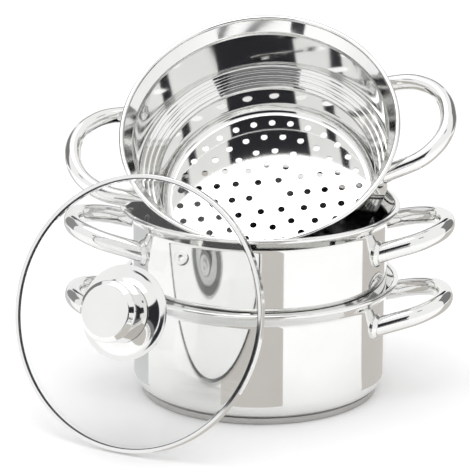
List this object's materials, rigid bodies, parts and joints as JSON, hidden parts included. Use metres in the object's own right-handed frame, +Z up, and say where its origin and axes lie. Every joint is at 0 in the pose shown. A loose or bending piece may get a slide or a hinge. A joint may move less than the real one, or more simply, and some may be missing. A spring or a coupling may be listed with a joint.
{
  "type": "steamer pot",
  "caption": "Stainless steel steamer set: pot, stepped middle vessel, holed basket propped in it, loop handles and a domed glass lid on its edge.",
  "frame": {"origin": "centre of the flat underside of the pot's base", "axes": "+Z up along the pot's axis, +X through the right-hand handles, -Y towards the front where the lid stands"},
  "size_m": [0.3409, 0.3027, 0.2855],
  "materials": {
    "polished_steel": "mirror-polished stainless steel",
    "base_steel": "bright stainless steel with a fine turned grain",
    "fastener_steel": "bright stainless steel",
    "aluminium": "matt",
    "glass": "clear tempered glass",
    "seal": "matt grey silicone"
  },
  "bodies": {
    "pot": {"pot_base_cap": "base_steel", "pot_base_core": "aluminium", "pot_body": "polished_steel", "pot_cup_front_left": "polished_steel", "pot_cup_front_right": "polished_steel", "pot_cup_rear_left": "polished_steel", "pot_cup_rear_right": "polished_steel", "pot_handle_left": "polished_steel", "pot_handle_right": "polished_steel", "pot_rivet_front_left": "fastener_steel", "pot_rivet_front_right": "fastener_steel", "pot_rivet_rear_left": "fastener_steel", "pot_rivet_rear_right": "fastener_steel"},
    "middle_vessel": {"middle_body": "polished_steel", "middle_cup_front_left": "polished_steel", "middle_cup_front_right": "polished_steel", "middle_cup_rear_left": "polished_steel", "middle_cup_rear_right": "polished_steel", "middle_handle_left": "polished_steel", "middle_handle_right": "polished_steel", "middle_rivet_front_left": "fastener_steel", "middle_rivet_front_right": "fastener_steel", "middle_rivet_rear_left": "fastener_steel", "middle_rivet_rear_right": "fastener_steel"},
    "basket": {"basket_body": "polished_steel", "basket_cup_front_left": "polished_steel", "basket_cup_front_right": "polished_steel", "basket_cup_rear_left": "polished_steel", "basket_cup_rear_right": "polished_steel", "basket_handle_left": "polished_steel", "basket_handle_right": "polished_steel", "basket_rivet_front_left": "fastener_steel", "basket_rivet_front_right": "fastener_steel", "basket_rivet_rear_left": "fastener_steel", "basket_rivet_rear_right": "fastener_steel"},
    "lid": {"lid_band": "polished_steel", "lid_gasket": "seal", "lid_glass": "glass", "lid_knob_grip": "polished_steel", "lid_knob_skirt": "polished_steel", "lid_screw": "fastener_steel", "lid_seal": "seal", "lid_vent": "polished_steel", "lid_washer": "fastener_steel"}
  },
  "joints": [
    {"name": "middle_lift", "type": "slide", "parent": "pot", "child": "middle_vessel", "axis": [0, 0, 1], "range_m": [0, 0.12]},
    {"name": "basket_lift", "type": "slide", "parent": "middle_vessel", "child": "basket", "axis": [0, 0, 1], "range_m": [0, 0.12]},
    {"name": "lid_lift", "type": "slide", "parent": "pot", "child": "lid", "axis": [0, 0, 1], "range_m": [0, 0.12]}
  ]
}
